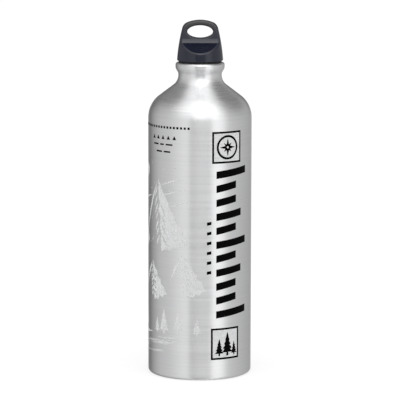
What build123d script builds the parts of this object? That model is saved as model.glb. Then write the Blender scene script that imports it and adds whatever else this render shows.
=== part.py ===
"""Camping fuel bottle: a seamless aluminium can with a crimped-in thread ring, closed by a looped screw cap.

Millimetres and degrees, +Z up, origin at the centre of the ring that the bottle stands on. The loop of the
cap faces the front, along Y. Every round piece is drawn as a half section: x is the radius, y the height.
"""

from build123d import *
import os
from math import acos, asin, cos, degrees, radians, sin, tan

# Can: one drawn wall from the domed base to the rolled lip
body_radius = 40.0
can_wall = 1.2
dome_height = 8.0
foot_width = 3.0
heel_bend_radius = 1.8
wall_height = 199.5
shoulder_radius = 21.0
shoulder_angle = 53.0
neck_fillet_radius = 9.5
neck_radius = 16.8
neck_straight = 0.5
flare_radius = 4.0
flare_angle = 30.0
lip_curve_radius = 4.0
lip_overhang = 2.2
lip_land = 1.55
lip_bend_radius = 0.6
curl_width = 3.4

# Thread ring: turned ring for the female thread, held by the neck below it and the lip's curl above it
ring_wall = 1.85
ring_tail = 10.5
crimp_clearance = 0.05
bore_chamfer = 0.8

# Screw plug: its barrel stands at the mean radius of the thread
thread_clearance = 0.3
plug_depth = 14.5
barrel_chamfer = 1.0
barrel_wall = 3.9
seal_neck_length = 2.2
seal_neck_step = 0.5
boss_step = 1.5
boss_flat_depth = 1.8
boss_height = 7.5
boss_roof = 3.0
rib_thickness = 1.4
rib_recess = 3.0
press_clearance = 0.05

# Seal: flat rubber ring between the lip and the cap
seal_thickness = 1.3
seal_clearance = 0.3
seal_setback = 1.3

# Cap head: a bell, scooped out at front and back so that a loop stands on two sloping shelves
cap_height = 31.4
skirt_setback = 1.1
skirt_edge_radius = 0.9
side_bulge = 0.7
crown_inset = 4.8
crown_arch_radius = 27.0
crown_corner_radius = 6.5
crease_height = 14.2
shelf_slope = 36.0
loop_flare_radius = 8.0
loop_flare_angle = 32.0
loop_draft = 8.0
loop_top_half = 3.7
loop_side = 3.25
loop_top = 4.1
eye_sill = 3.2
loop_edge_radius = 1.7
eye_edge_radius = 1.2

# How far every cutting shape runs past what it cuts
overrun = 4.0


def slope_length(offset, radii, angle):
    """Straight between two opposite arcs of one angle that step sideways by offset. radii is their sum."""
    return (offset - radii * (1 - cos(radians(angle)))) / sin(radians(angle))


def step_height(slope, radii, angle):
    """Height of that step."""
    return radii * sin(radians(angle)) + slope * cos(radians(angle))


# Levels and sizes that follow from the ones above
heel_radius = can_wall + heel_bend_radius
foot_inner_radius = body_radius - heel_radius - foot_width
dome_sphere = (foot_inner_radius**2 + dome_height**2) / (2 * dome_height)
shoulder_radii = shoulder_radius + neck_fillet_radius
shoulder_slope = slope_length(body_radius - neck_radius, shoulder_radii, shoulder_angle)
neck_level = wall_height + step_height(shoulder_slope, shoulder_radii, shoulder_angle)
flare_level = neck_level + neck_straight
flare_radii = flare_radius + lip_curve_radius
flare_slope = slope_length(lip_overhang, flare_radii, flare_angle)
lip_radius = neck_radius + lip_overhang
lip_roll_radius = can_wall + lip_bend_radius
lip_level = flare_level + step_height(flare_slope, flare_radii, flare_angle) + lip_land + lip_roll_radius
curl_radius = lip_radius - curl_width

ring_inset = can_wall + crimp_clearance
ring_bottom = flare_level - ring_tail
bore_radius = neck_radius - ring_inset - ring_wall

seat_level = lip_level + seal_thickness
barrel_radius = bore_radius - thread_clearance
plug_bottom = lip_level - plug_depth
seal_neck_radius = barrel_radius - seal_neck_step
seal_neck_level = lip_level - seal_neck_length
core_radius = barrel_radius - barrel_wall
core_top = seat_level + boss_height - boss_roof
boss_radius = seal_neck_radius - boss_step
boss_flat = boss_radius - boss_flat_depth

skirt_radius = lip_radius - skirt_setback
seal_radius = skirt_radius - seal_setback
cap_top = seat_level + cap_height
crown_radius = skirt_radius - crown_inset
crease_level = seat_level + crease_height
flare_rise = loop_flare_radius * (sin(radians(loop_flare_angle)) - sin(radians(loop_draft)))
flare_reach = loop_flare_radius * (cos(radians(loop_draft)) - cos(radians(loop_flare_angle)))
face_rise = cap_top - crease_level - flare_rise
crease_offset = loop_top_half + face_rise * tan(radians(loop_draft)) + flare_reach
eye_top = cap_top - loop_top
eye_bottom = crease_level + eye_sill
eye_half_width = crown_radius - loop_side


def lip_edges(start, inset):
    """Neck's outward flare and rolled lip, moved inwards by inset. Returns the roll, drawn last."""
    sweep = JernArc(start=start, tangent=(0, 1), radius=flare_radius + inset, arc_size=-flare_angle)
    slope = PolarLine(sweep @ 1, flare_slope, direction=sweep % 1)
    curve = JernArc(start=slope @ 1, tangent=slope % 1, radius=lip_curve_radius - inset, arc_size=flare_angle)
    land = Line(curve @ 1, curve @ 1 + (0, lip_land))
    return JernArc(start=land @ 1, tangent=(0, 1), radius=lip_roll_radius - inset, arc_size=90)


def can_section(inset):
    """Half section of the can from its axis to its skin, with every surface moved inwards by inset."""
    sphere = dome_sphere + inset
    sphere_level = dome_height - dome_sphere
    dome_angle = degrees(acos((inset - sphere_level) / sphere))
    with BuildSketch(Plane.XZ) as section:
        with BuildLine():
            dome = CenterArc((0, sphere_level), sphere, 90, -dome_angle)
            foot = Line(dome @ 1, (body_radius - heel_radius, inset))
            heel = JernArc(start=foot @ 1, tangent=(1, 0), radius=heel_radius - inset, arc_size=90)
            side = Line(heel @ 1, (body_radius - inset, wall_height))
            shoulder = JernArc(
                start=side @ 1, tangent=(0, 1), radius=shoulder_radius - inset, arc_size=shoulder_angle
            )
            slope = PolarLine(shoulder @ 1, shoulder_slope, direction=shoulder % 1)
            sweep = JernArc(
                start=slope @ 1,
                tangent=slope % 1,
                radius=neck_fillet_radius + inset,
                arc_size=-shoulder_angle,
            )
            neck = Line(sweep @ 1, (neck_radius - inset, flare_level))
            roll = lip_edges(neck @ 1, inset)
            Polyline(roll @ 1, (0, lip_level - inset), dome @ 0)
        make_face()
    return section.sketch


def boss_outline(clearance):
    """Round boss with two flats, by which the cap head turns the plug."""
    with BuildSketch(Plane.XY.offset(seat_level)) as outline:
        Circle(boss_radius + clearance)
        Rectangle(2 * (boss_radius + clearance), 2 * (boss_flat + clearance), mode=Mode.INTERSECT)
    return outline.sketch


# Bottle shell: the skin less the same skin one wall further in, with the mouth cut through the curl
with BuildPart() as bottle_shell:
    revolve(can_section(0), axis=Axis.Z)
    revolve(can_section(can_wall), axis=Axis.Z, mode=Mode.SUBTRACT)
    with BuildSketch(Plane.XY.offset(lip_level - can_wall)):
        Circle(curl_radius)
    extrude(amount=can_wall + overrun, mode=Mode.SUBTRACT)
bottle_shell.part.label = "bottle_shell"

# Thread ring: follows the inside of the neck and the flare, and steps down under the lip's curl
with BuildPart() as neck_thread_ring:
    with BuildSketch(Plane.XZ):
        with BuildLine():
            tail = Line((neck_radius - ring_inset, ring_bottom), (neck_radius - ring_inset, flare_level))
            under_roll = lip_edges(tail @ 1, ring_inset)
            Polyline(
                under_roll @ 1,
                (curl_radius - crimp_clearance, lip_level - ring_inset),
                (curl_radius - crimp_clearance, lip_level),
                (bore_radius, lip_level),
                (bore_radius, ring_bottom),
                tail @ 0,
            )
        make_face()
    revolve(axis=Axis.Z)
    bore = neck_thread_ring.faces().filter_by(GeomType.CYLINDER).sort_by(SortBy.RADIUS)[0]
    chamfer(bore.edges().filter_by(GeomType.CIRCLE), bore_chamfer)
neck_thread_ring.part.label = "neck_thread_ring"

# Screw plug: hollow barrel with cross ribs, a neck for the seal, and the boss that stands in the cap head
with BuildPart() as cap_plug:
    with BuildSketch(Plane.XZ):
        with BuildLine():
            Polyline(
                (0, plug_bottom),
                (barrel_radius - barrel_chamfer, plug_bottom),
                (barrel_radius, plug_bottom + barrel_chamfer),
                (barrel_radius, seal_neck_level - seal_neck_step),
                (seal_neck_radius, seal_neck_level),
                (seal_neck_radius, seat_level),
                (0, seat_level),
                close=True,
            )
        make_face()
    revolve(axis=Axis.Z)
    extrude(boss_outline(0), amount=boss_height)
    with BuildSketch(Plane.XY.offset(plug_bottom)):
        Circle(core_radius)
    extrude(amount=core_top - plug_bottom, mode=Mode.SUBTRACT)
    with BuildSketch(Plane.XY.offset(plug_bottom + rib_recess)):
        Rectangle(2 * core_radius, rib_thickness)
        Rectangle(rib_thickness, 2 * core_radius)
        Circle(core_radius, mode=Mode.INTERSECT)
    extrude(amount=core_top - plug_bottom - rib_recess)
cap_plug.part.label = "cap_plug"

# Seal
with BuildPart() as cap_seal:
    with BuildSketch(Plane.XY.offset(lip_level)):
        Circle(seal_radius)
        Circle(seal_neck_radius + seal_clearance, mode=Mode.SUBTRACT)
    extrude(amount=seal_thickness)
cap_seal.part.label = "cap_seal"

# Cap head
with BuildPart() as cap_head:
    with BuildSketch(Plane.XZ) as bell:
        with BuildLine():
            crown_span = degrees(asin(crown_radius / crown_arch_radius))
            crown = JernArc(
                start=(0, cap_top), tangent=(1, 0), radius=crown_arch_radius, arc_size=-crown_span
            )
            side = SagittaArc(crown @ 1, (skirt_radius, seat_level), side_bulge)
            Polyline(side @ 1, (0, seat_level), (0, cap_top))
        make_face()
        fillet(bell.vertices().sort_by(Axis.X)[-2], crown_corner_radius)
        fillet(bell.vertices().sort_by(Axis.X)[-1], skirt_edge_radius)
    revolve(axis=Axis.Z)

    # Scoops: a shelf falling away from the crease, and above it the loop's flared, then drafted face
    with BuildSketch(Plane.YZ):
        with BuildLine():
            reach = skirt_radius + overrun
            shelf_foot = crease_level - (reach - crease_offset) * tan(radians(shelf_slope))
            shelf = Line((reach, shelf_foot), (crease_offset, crease_level))
            flare_start = Vector(0, 1).rotate(Axis.Z, loop_flare_angle)
            flare = JernArc(
                start=shelf @ 1,
                tangent=flare_start,
                radius=loop_flare_radius,
                arc_size=loop_draft - loop_flare_angle,
            )
            face_length = (face_rise + overrun) / cos(radians(loop_draft))
            face = PolarLine(flare @ 1, face_length, direction=flare % 1)
            Polyline(face @ 1, (reach, cap_top + overrun), shelf @ 0)
        make_face()
        mirror(about=Plane.YZ)
    extrude(amount=reach, both=True, mode=Mode.SUBTRACT)
    flat_faces = cap_head.faces(Select.LAST).filter_by(GeomType.PLANE)
    flared_faces = cap_head.faces(Select.LAST).filter_by(GeomType.CYLINDER)
    outlines = (flat_faces + flared_faces).edges().filter_by(GeomType.LINE, reverse=True)
    creases = flared_faces.edges().filter_by(GeomType.LINE).group_by(Axis.Z)[0]
    fillet(outlines + creases, loop_edge_radius)

    # Eye of the loop, for a carabiner or a cord
    with BuildSketch(Plane.XZ):
        with Locations((0, (eye_top + eye_bottom) / 2)):
            Ellipse(eye_half_width, (eye_top - eye_bottom) / 2)
    extrude(amount=reach, both=True, mode=Mode.SUBTRACT)
    eye_rims = cap_head.edges(Select.LAST).filter_by(GeomType.LINE, reverse=True)
    fillet(eye_rims, eye_edge_radius)

    # Socket for the plug's boss
    extrude(boss_outline(press_clearance), amount=boss_height + press_clearance, mode=Mode.SUBTRACT)
cap_head.part.label = "cap_head"

os.makedirs("parts", exist_ok=True)
for piece in (bottle_shell, neck_thread_ring, cap_plug, cap_seal, cap_head):
    export_step(piece.part, f"parts/{piece.part.label}.step")
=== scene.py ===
"""Looks of the camping fuel bottle: brushed can, threaded neck and plug, moulded cap and printed wall.

Metres, +Z up, and the print faces the front, -Y. The object's sizes are written in millimetres times MM,
apart from those of its print, which are plain millimetres, and angles are in degrees unless math.radians
turns them. Round pieces are half sections of (radius, height). The print is drawn on the unrolled wall
as (along, up), where along is measured around the wall from the middle of the front, to the right.
"""

import math
import random

import bmesh
import bpy
from mathutils import Euler, Matrix, Vector
from mathutils.geometry import tessellate_polygon


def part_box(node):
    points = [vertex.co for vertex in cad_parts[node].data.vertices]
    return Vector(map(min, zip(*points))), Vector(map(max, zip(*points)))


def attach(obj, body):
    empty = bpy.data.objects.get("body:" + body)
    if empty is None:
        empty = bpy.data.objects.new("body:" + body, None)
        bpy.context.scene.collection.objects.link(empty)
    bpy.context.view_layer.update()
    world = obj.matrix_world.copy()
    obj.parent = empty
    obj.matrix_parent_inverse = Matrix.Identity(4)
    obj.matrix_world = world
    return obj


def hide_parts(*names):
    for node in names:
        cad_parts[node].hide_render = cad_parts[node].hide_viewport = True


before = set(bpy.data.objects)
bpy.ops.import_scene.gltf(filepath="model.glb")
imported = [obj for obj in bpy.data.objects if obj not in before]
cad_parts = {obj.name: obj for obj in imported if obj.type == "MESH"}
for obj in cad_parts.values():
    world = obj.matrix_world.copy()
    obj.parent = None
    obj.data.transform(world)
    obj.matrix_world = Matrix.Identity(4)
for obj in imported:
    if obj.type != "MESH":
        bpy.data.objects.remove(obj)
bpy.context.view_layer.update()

MM = 0.001
scene = bpy.context.scene

# Places that the frame gives
can_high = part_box("bottle_shell")[1]
ring_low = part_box("neck_thread_ring")[0]
plug_low, plug_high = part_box("cap_plug")
seal_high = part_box("cap_seal")[1]
cap_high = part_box("cap_head")[1]
BODY_RADIUS = can_high.x
LIP_LEVEL = can_high.z
SEAT_LEVEL = seal_high.z

# Can
CAN_WALL = 1.2 * MM
DOME_HEIGHT = 8 * MM
FOOT_WIDTH = 3 * MM
HEEL_RADIUS = 3 * MM
WALL_HEIGHT = 199.5 * MM
SHOULDER_RADIUS = 21 * MM
SHOULDER_ANGLE = 53
NECK_FILLET_RADIUS = 9.5 * MM
NECK_RADIUS = 16.8 * MM
NECK_STRAIGHT = 0.5 * MM
FLARE_RADIUS = 4 * MM
FLARE_ANGLE = 30
LIP_OVERHANG = 2.2 * MM
LIP_LAND = 1.55 * MM
LIP_ROLL_RADIUS = 1.8 * MM
CURL_WIDTH = 3.4 * MM

# Thread, which is right-handed. Its ridge runs in over a pitch divided by THREAD_RUN_IN, and the plug's
# ridge fades at the two sides, as the cosine of the turn goes through THREAD_GAP.
THREAD_PITCH = 3.2 * MM
THREAD_DEPTH = 1.2 * MM
THREAD_BASE = 1.9 * MM
THREAD_CREST = 0.7 * MM
THREAD_ROW = 0.2 * MM
THREAD_RUN_IN = 3
THREAD_GAP = (0.96, 0.985)
RING_PHASE = 0.0
PLUG_PHASE = 0.5

# Thread ring and plug
RING_INSET = 1.25 * MM
BORE_RADIUS = 13.7 * MM
BORE_CHAMFER = 0.4 * MM
BARREL_RADIUS = 13.4 * MM
BARREL_CHAMFER = 0.6 * MM
CORE_RADIUS = 9.5 * MM
SEAL_NECK_RADIUS = 12.9 * MM
SEAL_NECK_LENGTH = 2.2 * MM
BOSS_FLAT = 9.6 * MM
BOSS_RADIUS = 11.4 * MM
BOSS_ROOF = 3 * MM
RIB_THICKNESS = 1.4 * MM
RIB_RECESS = 3 * MM
RIB_OVERLAP = 0.3 * MM

# Mesh fineness: degrees and fewest steps in a bend, length of the short steps beside it, segments around
# the axis, the distances within which points are one and faces are slivers, and the least sharp edge
BEND_STEP = 3.0
BEND_FEWEST = 4
SUPPORT = 0.25 * MM
SEGMENTS = 256
THREAD_SEGMENTS = 180
AT_ROOT = 0.01 * MM
WELD = 0.001 * MM
SLIVER = 0.0005 * MM
CREASE = math.radians(24)

# Print
INK_PROUD = 0.03 * MM
INK_SUNK = 0.01 * MM
INK_STRIP = 1.75 * MM


class Value:
    """A socket of a node tree. Arithmetic on it adds Math nodes to the tree."""

    def __init__(self, tree, socket):
        self.tree = tree
        self.socket = socket

    def also(self, name):
        """Another output of the same node."""
        return Value(self.tree, pick(self.socket.node.outputs, name))

    def __add__(self, other):
        return self.tree.math("ADD", self, other)

    def __sub__(self, other):
        return self.tree.math("SUBTRACT", self, other)

    def __rsub__(self, other):
        return self.tree.math("SUBTRACT", other, self)

    def __mul__(self, other):
        return self.tree.math("MULTIPLY", self, other)

    def __truediv__(self, other):
        return self.tree.math("DIVIDE", self, other)

    def __neg__(self):
        return self * -1

    __radd__ = __add__
    __rmul__ = __mul__


def pick(sockets, name):
    """A socket by its name or its place, among those that the node's settings leave in use."""
    used = [socket for socket in sockets if socket.enabled]
    if isinstance(name, int):
        return used[name]
    return next(socket for socket in used if socket.name == name)


def set_stops(ramp, stops):
    """Stops of a colour ramp, each a place from 0 to 1 and a grey level or a colour."""
    while len(ramp.elements) > 1:
        ramp.elements.remove(ramp.elements[0])
    for number, (place, level) in enumerate(stops):
        stop = ramp.elements[0] if number == 0 else ramp.elements.new(place)
        stop.position = place
        stop.color = level if isinstance(level, tuple) else (level, level, level, 1)


class Tree:
    """A node tree, emptied first. Every node comes from add: its type, settings and sockets."""

    def __init__(self, tree):
        self.tree = tree
        tree.nodes.clear()

    def add(self, kind, settings=None, sockets=None, out=0):
        node = self.tree.nodes.new(kind)
        for name, value in (settings or {}).items():
            if name == "stops":
                set_stops(node.color_ramp, value)
            else:
                setattr(node, name, value)
        for name, value in (sockets or {}).items():
            target = pick(node.inputs, name)
            if isinstance(value, Value):
                self.tree.links.new(value.socket, target)
            else:
                target.default_value = value
        if not any(socket.enabled for socket in node.outputs):
            return None
        return Value(self, pick(node.outputs, out))

    def math(self, operation, *values):
        return self.add("ShaderNodeMath", {"operation": operation}, dict(enumerate(values)))

    def smooth(self, value, low, high):
        """0 below low, 1 above high, and a smooth step between them."""
        sockets = {"Value": value, "From Min": low, "From Max": high}
        return self.add("ShaderNodeMapRange", {"interpolation_type": "SMOOTHSTEP"}, sockets)

    def remap(self, value, low, high):
        """A pattern from 0 to 1 stretched to run from low to high."""
        return value * (high - low) + low

    def ramp(self, value, stops, interpolation="LINEAR"):
        node = self.add("ShaderNodeValToRGB", {"stops": stops}, {"Fac": value})
        node.socket.node.color_ramp.interpolation = interpolation
        return node

    def mix(self, share, first, second):
        """Colours mixed by a share."""
        sockets = {"Factor": share, "A": first, "B": second}
        return self.add("ShaderNodeMix", {"data_type": "RGBA"}, sockets)

    def place(self):
        """Where a point of the piece is, in metres."""
        return self.add("ShaderNodeTexCoord", out="Object")

    def height(self):
        """How high that point is."""
        return self.add("ShaderNodeSeparateXYZ", None, {"Vector": self.place()}, "Z")

    def noise(self, place, scale, detail, roughness=0.5):
        sockets = {"Vector": place, "Scale": scale, "Detail": detail, "Roughness": roughness}
        return self.add("ShaderNodeTexNoise", None, sockets)

    def bump(self, height, distance):
        return self.add("ShaderNodeBump", None, {"Height": height, "Distance": distance})


# Camera

CAMERA_DISTANCE = 2.040
CAMERA_ELEVATION = math.radians(8.55)
CAMERA_ROLL = math.radians(0.12)
CAMERA_AIM = Vector((0.00016, 0, 0.1347))
LENS = 236.7
SENSOR = 36


def add_camera():
    data = bpy.data.cameras.new("camera")
    data.sensor_width = SENSOR
    data.lens = LENS
    camera = bpy.data.objects.new("camera", data)
    back = Vector((0, -math.cos(CAMERA_ELEVATION), math.sin(CAMERA_ELEVATION)))
    camera.location = CAMERA_AIM + CAMERA_DISTANCE * back
    level = Euler((math.pi / 2 - CAMERA_ELEVATION, 0, 0)).to_matrix()
    camera.rotation_euler = (level @ Matrix.Rotation(CAMERA_ROLL, 3, "Z")).to_euler()
    scene.collection.objects.link(camera)
    scene.camera = camera


# Studio

# Light that the metal sees around it, by azimuth in degrees: 0 is the front, and 90 is the right
SURROUND = (
    (-180, 0.95),
    (-172, 0.95),
    (-164, 0.36),
    (-150, 0.13),
    (-135, 0.29),
    (-118, 0.45),
    (-100, 0.58),
    (-75, 0.64),
    (-55, 0.74),
    (-38, 0.81),
    (-25, 0.79),
    (-21, 0.43),
    (-8, 0.42),
    (12, 0.46),
    (25, 0.50),
    (31, 0.98),
    (50, 1.08),
    (58, 0.92),
    (66, 0.68),
    (90, 0.60),
    (120, 0.50),
    (150, 0.40),
    (162, 0.44),
    (172, 0.95),
    (180, 0.95),
)
# Softbox above it: its azimuth, the height in degrees at which it begins, and its level
OVERHEAD = (
    (-180, 30, 0.28),
    (-140, 30, 0.18),
    (-118, 30, 0.28),
    (-90, 32, 0.44),
    (-65, 32, 1.00),
    (-48, 27, 1.27),
    (-26, 21, 1.38),
    (-14, 14, 1.50),
    (-6, 14, 2.10),
    (8, 14, 2.10),
    (18, 14, 1.65),
    (30, 13, 1.75),
    (42, 17, 1.70),
    (58, 25, 0.97),
    (80, 22, 0.36),
    (105, 20, 0.24),
    (140, 20, 0.22),
    (180, 30, 0.32),
)
OVERHEAD_FULL = 2.5
OVERHEAD_SOFTNESS = math.radians(9)
# Softbox straight above, brighter along its middle, with a black strip in it from the middle to behind,
# and a dark flag low behind the object. Their edges are shares of a full step up, back or aside.
TOP_UP = (0.84, 0.96)
TOP_LEVEL = 1.1
MIDDLE_UP = (0.60, 0.85)
MIDDLE_ASIDE = (0.0, 0.28)
MIDDLE_GAIN = 0.45
CEILING_UP = (0.80, 0.94)
CEILING_FRONT_EDGE = (0.0, 0.12)
CEILING_BACK_EDGE = (0.25, 0.38)
CEILING_ASIDE = (0.06, 0.13)
FLAG_UP = (-0.06, 0.06)
FLAG_BACK = (0.80, 0.97)
FLAG_LEVEL = 0.15
AMBIENT_LEVEL = 0.95
FLOOR_SIZE = 9.0
FLOOR_GLOW = 0.62
FLOOR_SHARE_LIT = 0.42


def around(table, column=1, full=1.0):
    """Stops of a ramp over the azimuth, for a table of degrees and levels."""
    return [((row[0] + 180) / 360, row[column] / full) for row in table]


def light_studio():
    """White to the camera, plain light on matt surfaces, and softboxes for what is glossy."""
    world = bpy.data.worlds.new("studio")
    scene.world = world
    world.use_nodes = True
    tree = Tree(world.node_tree)
    ray = tree.add("ShaderNodeTexCoord", out="Generated")
    east = tree.add("ShaderNodeSeparateXYZ", None, {"Vector": ray})
    azimuth = tree.math("ARCTAN2", east, -east.also("Y")) / math.tau + 0.5
    elevation = tree.math("ARCSINE", east.also("Z"))
    surround = tree.ramp(azimuth, around(SURROUND))
    edge = tree.ramp(azimuth, around(OVERHEAD, 1, 90)) * (math.pi / 2)
    softbox = tree.ramp(azimuth, around(OVERHEAD, 2, OVERHEAD_FULL), "B_SPLINE") * OVERHEAD_FULL
    overhead = tree.smooth(elevation, edge - OVERHEAD_SOFTNESS, edge + OVERHEAD_SOFTNESS)
    up = east.also("Z")
    back = east.also("Y")
    aside = tree.math("ABSOLUTE", east)
    top = tree.smooth(up, *TOP_UP)
    middle = tree.smooth(up, *MIDDLE_UP) * (1 - tree.smooth(aside, *MIDDLE_ASIDE))
    ceiling = tree.smooth(back, *CEILING_FRONT_EDGE) * (1 - tree.smooth(back, *CEILING_BACK_EDGE))
    ceiling = ceiling * tree.smooth(up, *CEILING_UP) * (1 - tree.smooth(aside, *CEILING_ASIDE))
    flag = tree.smooth(up, *FLAG_UP) * tree.smooth(back, *FLAG_BACK)
    seen = surround * (1 - overhead) + overhead * softbox
    seen = seen * (1 - top) + top * TOP_LEVEL
    seen = seen * (middle * MIDDLE_GAIN + 1) * (1 - ceiling)
    seen = seen * (1 - flag) + flag * FLAG_LEVEL
    path = tree.add("ShaderNodeLightPath", out="Is Camera Ray")
    matt = path.also("Is Diffuse Ray")
    level = seen * (1 - matt) + matt * AMBIENT_LEVEL
    level = level * (1 - path) + path
    background = tree.add("ShaderNodeBackground", None, {"Color": level})
    tree.add("ShaderNodeOutputWorld", None, {"Surface": background})


def add_floor():
    mesh = bpy.data.meshes.new("floor")
    half = FLOOR_SIZE / 2
    corners = [(-half, -half, 0), (half, -half, 0), (half, half, 0), (-half, half, 0)]
    mesh.from_pydata(corners, [], [(0, 1, 2, 3)])
    floor = bpy.data.objects.new("floor", mesh)
    scene.collection.objects.link(floor)
    floor.visible_glossy = False
    finish = bpy.data.materials.new("floor_white")
    finish.use_nodes = True
    tree = Tree(finish.node_tree)
    camera_ray = tree.add("ShaderNodeLightPath", out="Is Camera Ray")
    glow = tree.add("ShaderNodeEmission", None, {"Color": (1, 1, 1, 1), "Strength": FLOOR_GLOW})
    lit = tree.add("ShaderNodeBsdfDiffuse", None, {"Color": (1, 1, 1, 1)})
    part_lit = tree.add("ShaderNodeBsdfDiffuse", None, {"Color": (FLOOR_SHARE_LIT,) * 3 + (1,)})
    seen = tree.add("ShaderNodeAddShader", None, {0: glow, 1: part_lit})
    surface = tree.add("ShaderNodeMixShader", None, {0: camera_ray, 1: lit, 2: seen})
    tree.add("ShaderNodeOutputMaterial", None, {"Surface": surface})
    mesh.materials.append(finish)


# Finishes

def new_finish(name):
    material = bpy.data.materials.new(name)
    material.use_nodes = True
    return material, Tree(material.node_tree)


def close_finish(tree, sockets):
    """The shader and the output, which every finish ends with."""
    shader = tree.add("ShaderNodeBsdfPrincipled", None, sockets)
    tree.add("ShaderNodeOutputMaterial", None, {"Surface": shader})


# Brushed lines: how many there are in a metre across them and along them, and the detail of their noise
FINE_LINES = (2600, 22, 3)
BROAD_LINES = (520, 9, 2)
COARSE_LINES = (850, 28, 2)
LATHE_LINES = (3600, 6, 2)
INK_LINES = (2600, 22, 2)
PALE_INK_LINES = (1500, 22, 3)
LINE_ROUGHNESS = 0.6
# Patterns without a direction: how many there are in a metre, and the detail of their noise
SMUDGES = (24, 3)
PORES = (2600, 2)
FLOW = (60, 3)
RUBBER_GRAIN = (1800, 3)
RUBBER_DUST = (140, 4)
INK_PATCHES = (900, 2)
PALE_INK_PATCHES = (260, 4, 0.6)
GRAIN_DEPTH = 0.02 * MM
# Turn of a stretched highlight that makes it run across the lines
ACROSS_LINES = 0.25


def brushed_lines(tree, across, along, detail):
    """Streaks that run around the axis, wherever the surface faces."""
    x = tree.add("ShaderNodeSeparateXYZ", None, {"Vector": tree.place()})
    y = x.also("Y")
    radius = tree.math("SQRT", x * x + y * y)
    meridian = x.also("Z") - radius
    sockets = {"X": x * along, "Y": y * along, "Z": meridian * across}
    grain_place = tree.add("ShaderNodeCombineXYZ", None, sockets)
    return tree.noise(grain_place, 1.0, detail, LINE_ROUGHNESS)


# Tones of the can over its streaks, which are partly fine lines and partly broad ones
CAN_TONES = ((0.25, (0.78, 0.785, 0.795, 1)), (0.75, (0.90, 0.903, 0.908, 1)))
FINE_SHARE = 0.6
WALL_ROUGHNESS = (0.27, 0.41)
SHOULDER_ROUGHNESS = (0.09, 0.59)
SMUDGE_ROUGHNESS = (-0.02, 0.03)
# Heights between which the brushing of the wall turns into the coarser brushing of the shoulder
COARSER = (WALL_HEIGHT - 5.5 * MM, WALL_HEIGHT + 12.5 * MM)


def brushed_aluminium():
    """Fine lines around the bottle, coarser on the shoulder, with faint bands and handling marks."""
    material, tree = new_finish("brushed_aluminium")
    fine = brushed_lines(tree, *FINE_LINES)
    broad = brushed_lines(tree, *BROAD_LINES)
    coarse = brushed_lines(tree, *COARSE_LINES)
    smudge = tree.noise(tree.place(), *SMUDGES)
    streaks = fine * FINE_SHARE + broad * (1 - FINE_SHARE)
    on_wall = tree.remap(broad, *WALL_ROUGHNESS)
    on_shoulder = tree.remap(coarse, *SHOULDER_ROUGHNESS)
    roughness = on_wall + (on_shoulder - on_wall) * tree.smooth(tree.height(), *COARSER)
    sockets = {
        "Base Color": tree.ramp(streaks, CAN_TONES),
        "Metallic": 1.0,
        "Roughness": roughness + tree.remap(smudge, *SMUDGE_ROUGHNESS),
        "Anisotropic": 0.85,
        "Anisotropic Rotation": ACROSS_LINES,
        "Normal": tree.bump(fine, GRAIN_DEPTH),
    }
    close_finish(tree, sockets)
    return material


RING_TONES = ((0.2, (0.70, 0.71, 0.72, 1)), (0.8, (0.86, 0.86, 0.87, 1)))
RING_ROUGHNESS = (0.22, 0.36)


def turned_aluminium():
    """Lathe marks of the thread ring, coarser than the can's grain."""
    material, tree = new_finish("turned_aluminium")
    marks = brushed_lines(tree, *LATHE_LINES)
    sockets = {
        "Base Color": tree.ramp(marks, RING_TONES),
        "Metallic": 1.0,
        "Roughness": tree.remap(marks, *RING_ROUGHNESS),
        "Anisotropic": 0.4,
        "Anisotropic Rotation": ACROSS_LINES,
        "Normal": tree.bump(marks, GRAIN_DEPTH),
    }
    close_finish(tree, sockets)
    return material


# Plastics: darker and paler colour, least and greatest roughness, and the depth of their texture
CAP_PLASTIC = ((0.002, 0.004, 0.015, 1), (0.005, 0.007, 0.021, 1), 0.12, 0.19, 0.006 * MM)
PLUG_PLASTIC = ((0.018, 0.018, 0.02, 1), (0.03, 0.03, 0.033, 1), 0.42, 0.55, 0.02 * MM)
# Paler grey painted on the top of the loop as a highlight, and the heights between which it comes in
PAINTED_TOP_HIGHLIGHT = (0.024, 0.024, 0.026, 1)
PAINTED_HIGHLIGHT_HEIGHTS = (cap_high.z - 12.7 * MM, cap_high.z - 0.7 * MM)


def moulded_plastic(name, dark, pale, smooth, rough, texture, painted_highlight=None):
    """Moulded plastic with a fine eroded texture and slow changes of gloss. painted_highlight is two
    heights, between which the colour turns paler towards the top, a painted highlight.
    """
    material, tree = new_finish(name)
    place = tree.place()
    pores = tree.noise(place, *PORES)
    flow = tree.noise(place, *FLOW)
    colour = tree.mix(flow, dark, pale)
    if painted_highlight:
        # Painted highlight: the colour turns paler towards the top of the piece, between the given heights
        colour = tree.mix(tree.smooth(tree.height(), *painted_highlight), colour, PAINTED_TOP_HIGHLIGHT)
    sockets = {
        "Base Color": colour,
        "Roughness": tree.remap(flow, smooth, rough),
        "IOR": 1.58,
        "Normal": tree.bump(pores, texture),
    }
    close_finish(tree, sockets)
    return material


RUBBER_DARK = (0.008, 0.008, 0.009, 1)
RUBBER_PALE = (0.02, 0.02, 0.021, 1)
RUBBER_ROUGHNESS = (0.65, 0.85)


def seal_rubber():
    material, tree = new_finish("seal_rubber")
    place = tree.place()
    grain = tree.noise(place, *RUBBER_GRAIN)
    dust = tree.noise(place, *RUBBER_DUST)
    sockets = {
        "Base Color": tree.mix(dust, RUBBER_DARK, RUBBER_PALE),
        "Roughness": tree.remap(grain, *RUBBER_ROUGHNESS),
        "Specular IOR Level": 0.3,
        "Normal": tree.bump(grain, GRAIN_DEPTH),
    }
    close_finish(tree, sockets)
    return material


INK_DARK = (0.0006, 0.0006, 0.0008, 1)
INK_PALE = (0.0014, 0.0014, 0.002, 1)
INK_ROUGHNESS = (0.26, 0.38)
INK_GRAIN_DEPTH = 0.006 * MM


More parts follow.
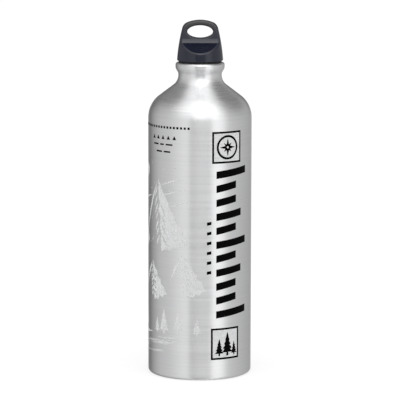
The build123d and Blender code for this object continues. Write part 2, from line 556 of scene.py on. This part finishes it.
def dark_ink():
    """Screen printed ink, which takes up the brushed lines below it a little."""
    material, tree = new_finish("dark_ink")
    lines = brushed_lines(tree, *INK_LINES)
    patches = tree.noise(tree.place(), *INK_PATCHES)
    sockets = {
        "Base Color": tree.mix(patches, INK_DARK, INK_PALE),
        "Roughness": tree.remap(lines, *INK_ROUGHNESS),
        "Specular IOR Level": 0.03,
        "Normal": tree.bump(lines, INK_GRAIN_DEPTH),
    }
    close_finish(tree, sockets)
    return material


PALE_INK_COLOUR = (0.76, 0.765, 0.77, 1)
PALE_INK_ROUGHNESS = (0.45, 0.6)
# The ink goes from thin to thick as its pattern, mostly patches and the rest lines, goes through
# PALE_INK_EDGE. PALE_INK_COVERS is how much of the metal it hides where it is thin and where thick.
PATCH_SHARE = 0.7
PALE_INK_EDGE = (0.2, 0.55)
PALE_INK_COVERS = (0.42, 0.82)


def pale_ink():
    """Thin white ink, through which the metal shows, more in some places than in others."""
    material, tree = new_finish("pale_ink")
    lines = brushed_lines(tree, *PALE_INK_LINES)
    patches = tree.noise(tree.place(), *PALE_INK_PATCHES)
    pattern = patches * PATCH_SHARE + lines * (1 - PATCH_SHARE)
    thick = tree.smooth(pattern, *PALE_INK_EDGE)
    sockets = {
        "Base Color": PALE_INK_COLOUR,
        "Roughness": tree.remap(lines, *PALE_INK_ROUGHNESS),
        "Specular IOR Level": 0.3,
        "Alpha": tree.remap(thick, *PALE_INK_COVERS),
    }
    close_finish(tree, sockets)
    return material


# Half sections

class Pen:
    """Draws a half section in straight runs and tangent arcs. Heading 0 is outwards, and 90 is up."""

    def __init__(self, radius, height, heading=0.0):
        self.points = [(radius, height)]
        self.heading = math.radians(heading)

    def forward(self, length):
        radius, height = self.points[-1]
        step = (length * math.cos(self.heading), length * math.sin(self.heading))
        self.points.append((radius + step[0], height + step[1]))

    def run(self, length):
        """Straight on, with a point near each end so that the shading of a bend stays in the bend."""
        if length > 3 * SUPPORT:
            self.forward(SUPPORT)
            self.forward(length - 2 * SUPPORT)
            self.forward(SUPPORT)
        else:
            self.forward(length)

    def to(self, radius, height):
        """Straight to a place."""
        here = self.points[-1]
        self.heading = math.atan2(height - here[1], radius - here[0])
        self.run(math.hypot(radius - here[0], height - here[1]))

    def bend(self, radius, turn):
        """Tangent arc, to the left where turn is above 0."""
        steps = max(BEND_FEWEST, math.ceil(abs(turn) / BEND_STEP))
        part = math.radians(turn) / steps
        chord = 2 * radius * math.sin(abs(part) / 2)
        for _ in range(steps):
            self.heading += part / 2
            self.forward(chord)
            self.heading += part / 2


def slope_length(offset, radii, angle):
    """Straight run between two opposite arcs that step sideways by offset. radii is their sum."""
    turn = math.radians(angle)
    return (offset - radii * (1 - math.cos(turn))) / math.sin(turn)


def lip_rise():
    """Height of the flare between its two arcs' far ends."""
    turn = math.radians(FLARE_ANGLE)
    slope = slope_length(LIP_OVERHANG, 2 * FLARE_RADIUS, FLARE_ANGLE)
    return 2 * FLARE_RADIUS * math.sin(turn) + slope * math.cos(turn)


def draw_lip(pen, inset):
    """The neck's flare and the rolled lip, from a pen that heads straight up."""
    radii = 2 * FLARE_RADIUS
    pen.bend(FLARE_RADIUS + inset, -FLARE_ANGLE)
    pen.run(slope_length(LIP_OVERHANG, radii, FLARE_ANGLE))
    pen.bend(FLARE_RADIUS - inset, FLARE_ANGLE)
    pen.run(LIP_LAND)
    pen.bend(LIP_ROLL_RADIUS - inset, 90)


def can_line(inset):
    """One surface of the can, from the middle of its base to the edge of its rolled lip."""
    foot_inner = BODY_RADIUS - HEEL_RADIUS - FOOT_WIDTH
    sphere = (foot_inner**2 + DOME_HEIGHT**2) / (2 * DOME_HEIGHT)
    dome_turn = math.degrees(math.acos((inset + sphere - DOME_HEIGHT) / (sphere + inset)))
    pen = Pen(0, DOME_HEIGHT + inset)
    pen.bend(sphere + inset, -dome_turn)
    pen.to(BODY_RADIUS - HEEL_RADIUS, inset)
    pen.bend(HEEL_RADIUS - inset, 90)
    pen.run(WALL_HEIGHT - HEEL_RADIUS)
    pen.bend(SHOULDER_RADIUS - inset, SHOULDER_ANGLE)
    radii = SHOULDER_RADIUS + NECK_FILLET_RADIUS
    pen.run(slope_length(BODY_RADIUS - NECK_RADIUS, radii, SHOULDER_ANGLE))
    pen.bend(NECK_FILLET_RADIUS + inset, -SHOULDER_ANGLE)
    pen.run(NECK_STRAIGHT)
    draw_lip(pen, inset)
    pen.to(NECK_RADIUS + LIP_OVERHANG - CURL_WIDTH, LIP_LEVEL - inset)
    return pen.points


def threaded_rows(radius, start, end):
    """Points a thread row apart, up or down one radius."""
    rows = math.ceil(abs(end - start) / THREAD_ROW)
    return [(radius, start + (end - start) * row / rows) for row in range(rows + 1)]


def ring_section():
    """Ring inside the neck and the flare, stepped down under the lip's curl, with the threaded bore."""
    root = BORE_RADIUS + THREAD_DEPTH / 2
    flare_level = LIP_LEVEL - LIP_ROLL_RADIUS - LIP_LAND - lip_rise()
    pen = Pen(NECK_RADIUS - RING_INSET, ring_low.z, 90)
    pen.run(flare_level - ring_low.z)
    draw_lip(pen, RING_INSET)
    curl_edge = NECK_RADIUS + LIP_OVERHANG - CURL_WIDTH - (RING_INSET - CAN_WALL)
    pen.to(curl_edge, LIP_LEVEL - RING_INSET)
    pen.to(curl_edge, LIP_LEVEL)
    pen.to(root + BORE_CHAMFER, LIP_LEVEL)
    bore = threaded_rows(root, LIP_LEVEL - BORE_CHAMFER, ring_low.z + BORE_CHAMFER)
    closing = [(root + BORE_CHAMFER, ring_low.z), pen.points[0]]
    return pen.points + bore + closing


def plug_section():
    """Hollow barrel, open below, with the neck for the seal and the boss that stands in the cap head."""
    root = BARREL_RADIUS - THREAD_DEPTH / 2
    core_top = plug_high.z - BOSS_ROOF
    seal_neck = LIP_LEVEL - SEAL_NECK_LENGTH
    inside = [(0, core_top), (CORE_RADIUS, core_top), (CORE_RADIUS, plug_low.z)]
    barrel = threaded_rows(root, plug_low.z + BARREL_CHAMFER, seal_neck)
    edge = [(root - BARREL_CHAMFER, plug_low.z)]
    neck = [(SEAL_NECK_RADIUS, seal_neck), (SEAL_NECK_RADIUS, SEAT_LEVEL), (BOSS_RADIUS, SEAT_LEVEL)]
    boss = [(BOSS_RADIUS, plug_high.z), (0, plug_high.z)]
    return inside + edge + barrel + neck + boss


# Geometry Nodes recipes

def new_recipe(name, inputs):
    """An empty Geometry Nodes tree with named inputs, and its input node."""
    group = bpy.data.node_groups.new(name, "GeometryNodeTree")
    group.interface.new_socket("Geometry", in_out="INPUT", socket_type="NodeSocketGeometry")
    for label, kind in inputs:
        group.interface.new_socket(label, in_out="INPUT", socket_type="NodeSocket" + kind)
    group.interface.new_socket("Geometry", in_out="OUTPUT", socket_type="NodeSocketGeometry")
    tree = Tree(group)
    return tree, tree.add("NodeGroupInput")


def close_recipe(tree, geometry, finish):
    """What every recipe ends with: real geometry with its finish."""
    real = tree.add("GeometryNodeRealizeInstances", None, {"Geometry": geometry})
    done = tree.add("GeometryNodeSetMaterial", None, {"Geometry": real, "Material": finish})
    tree.add("NodeGroupOutput", None, {"Geometry": done})


# Whole turns that keep the count along the helix above zero
ABOVE_ZERO = 100


def lathe_recipe():
    """Turns a half section about the axis, with a helical ridge on the rows at the root radius."""
    inputs = (
        ("Segments", "Int"),
        ("Root", "Float"),
        ("Pitch", "Float"),
        ("Depth", "Float"),
        ("Base", "Float"),
        ("Crest", "Float"),
        ("Start", "Float"),
        ("End", "Float"),
        ("Phase", "Float"),
        ("Gap", "Float"),
        ("Finish", "Material"),
    )
    tree, given = new_recipe("lathe", inputs)
    count = tree.add("GeometryNodeAttributeDomainSize", None, {"Geometry": given})
    segments = given.also("Segments")
    size = {"Size X": 1.0, "Size Y": 1.0, "Vertices X": segments + 1, "Vertices Y": count}
    grid = tree.add("GeometryNodeMeshGrid", None, size)
    index = tree.add("GeometryNodeInputIndex")
    column = tree.math("FLOOR", (index + 0.5) / count)
    row = index - column * count
    point = tree.add("GeometryNodeInputPosition")
    section = {"Geometry": given, "Value": point, "Index": row}
    drawn = tree.add("GeometryNodeSampleIndex", {"data_type": "FLOAT_VECTOR"}, section)
    radius = tree.add("ShaderNodeSeparateXYZ", None, {"Vector": drawn})
    height = radius.also("Z")
    turn = column / segments * math.tau

    pitch = given.also("Pitch")
    helix = height / pitch - turn / math.tau + given.also("Phase")
    off_crest = tree.math("ABSOLUTE", tree.math("FRACT", helix + ABOVE_ZERO) - 0.5) * pitch
    ridge = 1 - tree.smooth(off_crest, given.also("Crest") / 2, given.also("Base") / 2)
    run_in = pitch / THREAD_RUN_IN
    rising = tree.smooth(height, given.also("Start"), given.also("Start") + run_in)
    falling = 1 - tree.smooth(height, given.also("End") - run_in, given.also("End"))
    towards_side = tree.math("ABSOLUTE", tree.math("COSINE", turn))
    unbroken = 1 - given.also("Gap") * tree.smooth(towards_side, *THREAD_GAP)
    at_root = tree.math("COMPARE", radius, given.also("Root"), AT_ROOT)
    lift = ridge * rising * falling * unbroken * at_root * given.also("Depth")

    swung = radius + lift
    across = swung * tree.math("COSINE", turn)
    deep = swung * tree.math("SINE", turn)
    place = tree.add("ShaderNodeCombineXYZ", None, {"X": across, "Y": deep, "Z": height})
    turned = tree.add("GeometryNodeSetPosition", None, {"Geometry": grid, "Position": place})
    merged = tree.add("GeometryNodeMergeByDistance", None, {"Geometry": turned, "Distance": WELD})
    close_recipe(tree, merged, given.also("Finish"))
    return tree.tree


def marks_recipe():
    """Small printed squares in a row around the wall."""
    inputs = (
        ("Count", "Int"),
        ("First", "Float"),
        ("Step", "Float"),
        ("Height", "Float"),
        ("Size", "Float"),
        ("Radius", "Float"),
        ("Thickness", "Float"),
        ("Finish", "Material"),
    )
    tree, given = new_recipe("marks", inputs)
    line = tree.add("GeometryNodeMeshLine", None, {"Count": given.also("Count")})
    index = tree.add("GeometryNodeInputIndex")
    angle = given.also("First") + index * given.also("Step")
    out = given.also("Radius")
    sockets = {
        "X": out * tree.math("SINE", angle),
        "Y": -(out * tree.math("COSINE", angle)),
        "Z": given.also("Height"),
    }
    place = tree.add("ShaderNodeCombineXYZ", None, sockets)
    row = tree.add("GeometryNodeSetPosition", None, {"Geometry": line, "Position": place})
    side = given.also("Size")
    sockets = {"X": side, "Y": given.also("Thickness"), "Z": side}
    extent = tree.add("ShaderNodeCombineXYZ", None, sockets)
    square = tree.add("GeometryNodeMeshCube", None, {"Size": extent})
    turn = tree.add("ShaderNodeCombineXYZ", None, {"Z": angle})
    sockets = {"Points": row, "Instance": square, "Rotation": turn}
    marks = tree.add("GeometryNodeInstanceOnPoints", None, sockets)
    close_recipe(tree, marks, given.also("Finish"))
    return tree.tree


def grow(name, recipe, points=(), **inputs):
    """A plain mesh object from a recipe. points is the half section that it starts from."""
    mesh = bpy.data.meshes.new(name + "_section")
    mesh.from_pydata([(radius, 0, height) for radius, height in points], [], [])
    piece = bpy.data.objects.new(name, mesh)
    scene.collection.objects.link(piece)
    modifier = piece.modifiers.new("recipe", "NODES")
    modifier.node_group = recipe
    for socket in recipe.interface.items_tree:
        if socket.in_out == "INPUT" and socket.name in inputs:
            modifier[socket.identifier] = inputs[socket.name]
    evaluated = piece.evaluated_get(bpy.context.evaluated_depsgraph_get())
    grown = bpy.data.meshes.new_from_object(evaluated)
    piece.modifiers.remove(modifier)
    piece.data = grown
    grown.name = name
    return piece


def finish_mesh(piece):
    """Faces outwards, smooth except at real edges."""
    mesh = piece.data
    work = bmesh.new()
    work.from_mesh(mesh)
    bmesh.ops.dissolve_degenerate(work, dist=SLIVER, edges=work.edges)
    bmesh.ops.recalc_face_normals(work, faces=work.faces)
    work.to_mesh(mesh)
    work.free()
    mesh.shade_smooth()
    mesh.set_sharp_from_angle(angle=CREASE)


def extrude(work, faces):
    """A second side for faces, joined to them by walls. Gives its corners, which still have to be moved."""
    made = bmesh.ops.extrude_face_region(work, geom=faces, use_keep_orig=True)["geom"]
    return [part for part in made if isinstance(part, bmesh.types.BMVert)]


# Printed film

DISC_SIDES = 32
# Teeth of a broken line: how far each is shifted along it, and how much of its reach it leans out
TOOTH_SHIFT = (-0.2, 0.2)
TOOTH_LEAN = (0.4, 1.0)
# A pine, as shares of its height: half its width, its bare trunk, half the trunk's width, and the rise
# of a branch. The notch over a branch is a share of that branch's reach.
PINE_HALF = 0.27
PINE_TRUNK = 0.14
PINE_STEM = 0.05
PINE_RISE = 0.13
PINE_NOTCH = 0.52
PINE_TIERS = 5


def disc(along, up, radius, sides=DISC_SIDES):
    """A round outline, anticlockwise."""
    turns = [math.tau * side / sides for side in range(sides)]
    return [(along + radius * math.cos(turn), up + radius * math.sin(turn)) for turn in turns]


def block(left, right, low, high):
    return [(left, low), (right, low), (right, high), (left, high)]


def frame_outline(low, high, stroke):
    """A square frame as its outer and inner outlines."""
    outer = block(low[0], high[0], low[1], high[1])
    inner = block(low[0] + stroke, high[0] - stroke, low[1] + stroke, high[1] - stroke)
    return outer, inner


def star(along, up, tips):
    """A star, anticlockwise. tips are its points and notches, each in degrees and a length."""
    turns = [(math.radians(degrees), length) for degrees, length in tips]
    return [(along + length * math.cos(turn), up + length * math.sin(turn)) for turn, length in turns]


def spindle(start, end, thickness, sag=0.0, steps=7):
    """A long thin stroke with pointed ends, bowed by sag."""
    start = Vector(start)
    run = Vector(end) - start
    across = Vector((-run.y, run.x)).normalized()
    edges = ([], [])
    for step in range(1, steps):
        share = step / steps
        swell = math.sin(math.pi * share)
        middle = start + run * share + across * sag * swell
        edges[0].append(tuple(middle - across * thickness / 2 * swell))
        edges[1].append(tuple(middle + across * thickness / 2 * swell))
    return [tuple(start)] + edges[0] + [tuple(start + run)] + edges[1][::-1]


def jagged(start, end, teeth, reach, dice):
    """A broken line from start up to end, which leans to either side in turn and least near its ends."""
    start = Vector(start)
    run = Vector(end) - start
    across = Vector((-run.y, run.x)).normalized()
    points = [tuple(start)]
    for tooth in range(1, teeth):
        share = (tooth + dice.uniform(*TOOTH_SHIFT)) / teeth
        side = 1 if tooth % 2 else -1
        lean = side * reach * dice.uniform(*TOOTH_LEAN) * math.sin(math.pi * share)
        points.append(tuple(start + run * share + across * lean))
    return points


def pine(along, low, tall):
    """A pine as a solid shape: a trunk under tiers of branches."""
    half = PINE_HALF * tall
    trunk = PINE_TRUNK * tall
    right = [(PINE_STEM * tall, low), (PINE_STEM * tall, low + trunk)]
    for tier in range(PINE_TIERS):
        left_share = 1 - tier / PINE_TIERS
        level = low + trunk + (tall - trunk) * tier / PINE_TIERS
        right.append((half * left_share, level))
        right.append((half * left_share * PINE_NOTCH, level + PINE_RISE * tall))
    outline = [(along + out, level) for out, level in right[:-1]]
    outline.append((along, low + tall))
    outline += [(along - out, level) for out, level in reversed(right[:-1])]
    return outline


def cut_in_strips(flat):
    """Cuts flat ink upright, a strip's width apart, so that it can follow the round wall."""
    places = [vertex.co.x for vertex in flat.verts]
    for strip in range(math.ceil(min(places) / INK_STRIP), math.ceil(max(places) / INK_STRIP)):
        everything = flat.verts[:] + flat.edges[:] + flat.faces[:]
        seam = (strip * INK_STRIP, 0, 0)
        bmesh.ops.bisect_plane(flat, geom=everything, dist=WELD, plane_co=seam, plane_no=(1, 0, 0))


def print_film(name, shapes, finish, proud=INK_PROUD):
    """Ink on the wall, from shapes that are each an outline and its holes, in millimetres."""
    flat = bmesh.new()
    for loops in shapes:
        outlines = [[Vector((along * MM, up * MM, 0)) for along, up in loop] for loop in loops]
        made = [flat.verts.new(corner) for outline in outlines for corner in outline]
        for triangle in tessellate_polygon(outlines):
            if len(set(triangle)) == 3:
                flat.faces.new([made[corner] for corner in triangle])
    cut_in_strips(flat)
    sunk = BODY_RADIUS - INK_SUNK
    for vertex in flat.verts:
        turn = vertex.co.x / BODY_RADIUS
        vertex.co = Vector((sunk * math.sin(turn), -sunk * math.cos(turn), vertex.co.y))
    bmesh.ops.recalc_face_normals(flat, faces=flat.faces)
    for vertex in extrude(flat, flat.faces[:]):
        outwards = Vector((vertex.co.x, vertex.co.y, 0)).normalized()
        vertex.co += outwards * (INK_SUNK + proud)
    mesh = bpy.data.meshes.new(name)
    flat.to_mesh(mesh)
    flat.free()
    piece = bpy.data.objects.new(name, mesh)
    scene.collection.objects.link(piece)
    mesh.materials.append(finish)
    finish_mesh(piece)
    return piece


# Pieces

def make_can(lathe, finish):
    section = can_line(0) + can_line(CAN_WALL)[::-1]
    can = grow("can", lathe, section, Segments=SEGMENTS, Pitch=THREAD_PITCH, Finish=finish)
    finish_mesh(can)
    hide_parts("bottle_shell")
    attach(can, "bottle")


def make_thread_ring(lathe, finish):
    ring = grow(
        "thread_ring",
        lathe,
        ring_section(),
        Segments=THREAD_SEGMENTS,
        Root=BORE_RADIUS + THREAD_DEPTH / 2,
        Pitch=THREAD_PITCH,
        Depth=-THREAD_DEPTH,
        Base=THREAD_BASE,
        Crest=THREAD_CREST,
        Start=ring_low.z + BORE_CHAMFER,
        End=LIP_LEVEL - BORE_CHAMFER,
        Phase=RING_PHASE,
        Finish=finish,
    )
    finish_mesh(ring)
    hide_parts("neck_thread_ring")
    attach(ring, "bottle")


def add_plug_ribs(plug):
    """Cross ribs inside the barrel."""
    half = RIB_THICKNESS / 2
    reach = CORE_RADIUS + RIB_OVERLAP
    corner_signs = ((1, 1), (-1, 1), (-1, -1), (1, -1))
    outline = []
    for number, (side, front) in enumerate(corner_signs):
        tips = [(side * reach, front * half), (side * half, front * half), (side * half, front * reach)]
        outline += tips if number % 2 == 0 else tips[::-1]
    work = bmesh.new()
    work.from_mesh(plug.data)
    base = [work.verts.new((x, y, plug_low.z + RIB_RECESS)) for x, y in outline]
    face = work.faces.new(base)
    lift = plug_high.z - BOSS_ROOF - plug_low.z - RIB_RECESS + RIB_OVERLAP
    for vertex in extrude(work, [face]):
        vertex.co.z += lift
    work.to_mesh(plug.data)
    work.free()


def make_plug(lathe, finish):
    plug = grow(
        "threaded_plug",
        lathe,
        plug_section(),
        Segments=THREAD_SEGMENTS,
        Root=BARREL_RADIUS - THREAD_DEPTH / 2,
        Pitch=THREAD_PITCH,
        Depth=THREAD_DEPTH,
        Base=THREAD_BASE,
        Crest=THREAD_CREST,
        Start=plug_low.z + BARREL_CHAMFER,
        End=LIP_LEVEL - SEAL_NECK_LENGTH,
        Phase=PLUG_PHASE,
        Gap=1.0,
        Finish=finish,
    )
    for vertex in plug.data.vertices:
        in_boss = math.hypot(vertex.co.x, vertex.co.y) < BOSS_RADIUS + SUPPORT
        if in_boss and vertex.co.z > SEAT_LEVEL - SUPPORT:
            vertex.co.y = max(-BOSS_FLAT, min(BOSS_FLAT, vertex.co.y))
    add_plug_ribs(plug)
    finish_mesh(plug)
    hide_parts("cap_plug")
    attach(plug, "cap")


def dress_node(name, finish):
    """A CAD node that keeps its shape and gets its finish."""
    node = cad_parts[name]
    node.material_slots[0].material = finish


# Dotted fill line: its level, the size and number of its dots, and their places around the wall
FILL_LEVEL = 195.1
FILL_DOT = 1.75
FILL_DOTS = 33
FILL_FIRST = math.radians(-12.4)
FILL_DOT_STEP = math.radians(4.32)


def ride_print(piece):
    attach(piece, "bottle")


def make_fill_line(finish):
    """Dotted line around the wall up to which the bottle is filled."""
    line = grow(
        "fill_line",
        marks_recipe(),
        Count=FILL_DOTS,
        First=FILL_FIRST,
        Step=-FILL_DOT_STEP,
        Height=FILL_LEVEL * MM,
        Size=FILL_DOT * MM,
        Radius=BODY_RADIUS + (INK_PROUD - INK_SUNK) / 2,
        Thickness=INK_PROUD + INK_SUNK,
        Finish=finish,
    )
    finish_mesh(line)
    ride_print(line)


# Frames of the two signs: lower left and upper right corner, and the width of the line
TOP_FRAME = ((9.4, 168.2), (35.3, 192.6))
LOW_FRAME = ((8.8, 16.2), (33.6, 40.8))
STROKE = 1.5
# Compass in the top frame, and the points and notches of a quarter of its star, by degrees and length
COMPASS_RADIUS = 9.4
COMPASS_STROKE = 1.7
COMPASS_HOLE = 0.9
COMPASS_HOLE_SIDES = 12
QUARTER_STAR = ((0, 7.0), (27, 2.5), (45, 4.8), (63, 2.5))
# Pines in the lower frame: sideways from its middle, and height. They stand this far above its edge.
FRAME_PINES = ((-5.6, 13.5), (1.4, 18.6), (7.6, 11.0))
FRAME_FLOOR = 2.8
# Row of pointers
POINTERS = 5
POINTER_FIRST = -42.0
POINTER_STEP = 5.4
POINTER_LEVEL = 187.4
POINTER_HALF = 1.6
POINTER_TALL = 3.0
# Rows of dashes: the row's level, then where each dash starts and ends
DASHES = (
    (181.9, (-42.4, -36.4), (-34.4, -30.4), (-28.4, -22.0)),
    (176.4, (-38.8, -32.4), (-30.4, -24.0)),
)
DASH_TALL = 1.2
# Scale of slanted bars, from the lowest up, by where each ends
BAR_ENDS = (41.8, 30.5, 30.5, 36.0, 30.5, 41.8, 30.5, 36.0, 30.5, 30.5, 41.8)
BAR_START = 12.9
BAR_LOW = 48.5
BAR_TALL = 5.6
BAR_STEP = 10.8
BAR_SLANT = 3.0
# Small ticks beside the scale
TICKS = 6
TICK_START = 5.5
TICK_END = 9.0
TICK_LOW = 82.8
TICK_TALL = 2.4
TICK_STEP = 7.6
TICK_SLANT = 0.6


def slanted_bar(left, right, low, tall, slant):
    return [(left, low), (right, low + slant), (right, low + slant + tall), (left, low + tall)]


def middle_of(corners):
    low, high = corners
    return (low[0] + high[0]) / 2, (low[1] + high[1]) / 2


def compass(along, up):
    """A ring around a star with four long and four short points."""
    ring = (disc(along, up, COMPASS_RADIUS), disc(along, up, COMPASS_RADIUS - COMPASS_STROKE))
    tips = [(start + turn, length) for start in range(0, 360, 90) for turn, length in QUARTER_STAR]
    return [ring, (star(along, up, tips), disc(along, up, COMPASS_HOLE, COMPASS_HOLE_SIDES))]


# Peaks of the pale landscape: apex, foot of the lit slope on the right, foot of the ridge between light
# and shade, and foot of the shaded slope
PEAKS = (
    ((-37, 155), (-8, 106), (-33, 99), (-56, 112)),
    ((-70, 138), (-52, 106), (-67, 94), (-84, 104)),
    ((-96, 124), (-83, 98), (-94, 90), (-102, 104)),
    ((-13, 99), (5, 70), (-10, 64), (-24, 76)),
    ((-45, 91), (-27, 66), (-42, 60), (-57, 70)),
    ((-77, 90), (-60, 64), (-74, 58), (-88, 66)),
)
# Broken outlines of a lit face along its ridge, its foot and its slope: how many teeth, and their reach
RIDGE_EDGE = (9, 1.7)
FOOT_EDGE = (6, 1.8)
SLOPE_EDGE = (9, 1.0)
# Gullies in a lit face and hatches in a shaded one: their places down the ridge, how far from it they
# start and how long they are, as shares of the slope, and their thickness and sag
GULLIES = (0.30, 0.44, 0.58, 0.72)
GULLY_START = 0.06
GULLY_LENGTH = (0.12, 0.19)
GULLY_STROKE = (1.3, 0.3)
HATCHES = (0.08, 0.19, 0.30, 0.41, 0.52, 0.63, 0.74)
HATCH_START = 0.05
HATCH_LENGTH = (0.14, 0.23)
HATCH_THICKNESS = 1.1
HATCH_SAG = -0.4
# Outline of a shaded slope, and the streaks of snow that the wind blows off: thickness, sag and steps
SHADE_START = 0.04
SHADE_STROKE = (2.0, -0.6, 11)
DRIFTS = (
    ((-34, 150), (-11, 156)),
    ((-32, 142), (-9, 148)),
    ((-27, 133), (-6, 139)),
    ((-68, 134), (-44, 142)),
)
DRIFT_STROKE = (1.1, 0.9, 11)
# Row of pines
PINES_FROM = -100
PINES_TO = 3
PINE_FLOOR = 36.0
PINE_SHIFT = (-1.5, 1.5)
PINE_TALL = (11, 21)
PINE_GAP = (0.62, 1.1)
# Streaks of the ground, which end at the latest at GROUND_END
GROUND_STREAKS = 26
GROUND_LOW = 19.0
GROUND_HIGH = 34.0
GROUND_START = (-98, -30)
GROUND_LENGTH = (12, 36)
GROUND_END = 6.0
GROUND_RISE = 0.05
GROUND_THICKNESS = (0.5, 0.9)
GROUND_STEPS = 9
# Sun and snow
SUN = (-58.0, 160.0)
SUN_RADIUS = 5.4
SNOW = 90
SNOW_FROM = (-98, 104)
SNOW_TO = (-16, 172)
SNOW_RADIUS = (0.25, 0.6)
SNOW_SIDES = 8
SEED = 7


def peak(apex, lit_foot, ridge_foot, shade_foot, dice):
    """A lit face with gullies that fall from its ridge, and a hatched and outlined face in the shade."""
    face = jagged(apex, ridge_foot, *RIDGE_EDGE, dice)
    face += jagged(ridge_foot, lit_foot, *FOOT_EDGE, dice)
    face += jagged(lit_foot, apex, *SLOPE_EDGE, dice)
    top = Vector(apex)
    ridge = Vector(ridge_foot) - top
    lit_fall = Vector(lit_foot) - top
    shade_fall = Vector(shade_foot) - top
    gullies = []
    for share in GULLIES:
        start = top + ridge * share + lit_fall * GULLY_START
        end = start + lit_fall * dice.uniform(*GULLY_LENGTH)
        gullies.append(spindle(start, end, *GULLY_STROKE))
    strokes = [(face, *gullies)]
    for share in HATCHES:
        start = top + ridge * share + shade_fall * HATCH_START
        end = start + shade_fall * dice.uniform(*HATCH_LENGTH)
        strokes.append((spindle(start, end, HATCH_THICKNESS + share, HATCH_SAG),))
    start = top.lerp(Vector(shade_foot), SHADE_START)
    strokes.append((spindle(start, shade_foot, *SHADE_STROKE),))
    return strokes


def make_pale_print(finish):
    """Mountains with blown snow over a row of pines, and the pale grounds of the two frames."""
    dice = random.Random(SEED)
    shapes = []
    for low, high in (TOP_FRAME, LOW_FRAME):
        shapes.append((frame_outline(low, high, STROKE / 2)[1],))
    for corners in PEAKS:
        shapes += peak(*corners, dice)
    along = PINES_FROM
    while along < PINES_TO:
        tall = dice.uniform(*PINE_TALL)
        shapes.append((pine(along, PINE_FLOOR + dice.uniform(*PINE_SHIFT), tall),))
        along += tall * dice.uniform(*PINE_GAP)
    for number in range(GROUND_STREAKS):
        level = GROUND_LOW + (GROUND_HIGH - GROUND_LOW) * (number + 0.5) / GROUND_STREAKS
        start = dice.uniform(*GROUND_START)
        length = dice.uniform(*GROUND_LENGTH)
        end = (min(start + length, GROUND_END), level + length * GROUND_RISE)
        thickness = dice.uniform(*GROUND_THICKNESS)
        shapes.append((spindle((start, level), end, thickness, 0.0, GROUND_STEPS),))
    for start, end in DRIFTS:
        shapes.append((spindle(start, end, *DRIFT_STROKE),))
    shapes.append((disc(*SUN, SUN_RADIUS),))
    for _ in range(SNOW):
        place = [dice.uniform(low, high) for low, high in zip(SNOW_FROM, SNOW_TO)]
        shapes.append((disc(*place, dice.uniform(*SNOW_RADIUS), SNOW_SIDES),))
    ride_print(print_film("print_pale", shapes, finish, INK_PROUD / 2))


def make_dark_print(finish):
    """Frames with a compass and pines, rows of pointers and dashes, and a bold scale of bars."""
    shapes = []
    for low, high in (TOP_FRAME, LOW_FRAME):
        outer, inner = frame_outline(low, high, STROKE)
        shapes.append((outer, inner))
    shapes += compass(*middle_of(TOP_FRAME))
    floor = LOW_FRAME[0][1] + FRAME_FLOOR
    for aside, tall in FRAME_PINES:
        shapes.append((pine(middle_of(LOW_FRAME)[0] + aside, floor, tall),))
    for number in range(POINTERS):
        along = POINTER_FIRST + number * POINTER_STEP
        low = POINTER_LEVEL - POINTER_TALL / 2
        tip = (along, low + POINTER_TALL)
        shapes.append(([(along - POINTER_HALF, low), (along + POINTER_HALF, low), tip],))
    for level, *spans in DASHES:
        for left, right in spans:
            shapes.append((block(left, right, level - DASH_TALL / 2, level + DASH_TALL / 2),))
    for number, end in enumerate(BAR_ENDS):
        level = BAR_LOW + number * BAR_STEP
        shapes.append((slanted_bar(BAR_START, end, level, BAR_TALL, BAR_SLANT),))
    for number in range(TICKS):
        level = TICK_LOW + number * TICK_STEP
        shapes.append((slanted_bar(TICK_START, TICK_END, level, TICK_TALL, TICK_SLANT),))
    ride_print(print_film("print_dark", shapes, finish))


def main():
    scene.view_settings.view_transform = "Standard"
    add_camera()
    light_studio()
    add_floor()
    lathe = lathe_recipe()
    make_can(lathe, brushed_aluminium())
    make_thread_ring(lathe, turned_aluminium())
    make_plug(lathe, moulded_plastic("plug_black", *PLUG_PLASTIC))
    # The cap head gets a painted highlight, paler towards the top of its loop
    dress_node("cap_head", moulded_plastic("cap_black", *CAP_PLASTIC, PAINTED_HIGHLIGHT_HEIGHTS))
    dress_node("cap_seal", seal_rubber())
    ink = dark_ink()
    make_fill_line(ink)
    make_dark_print(ink)
    make_pale_print(pale_ink())


main()
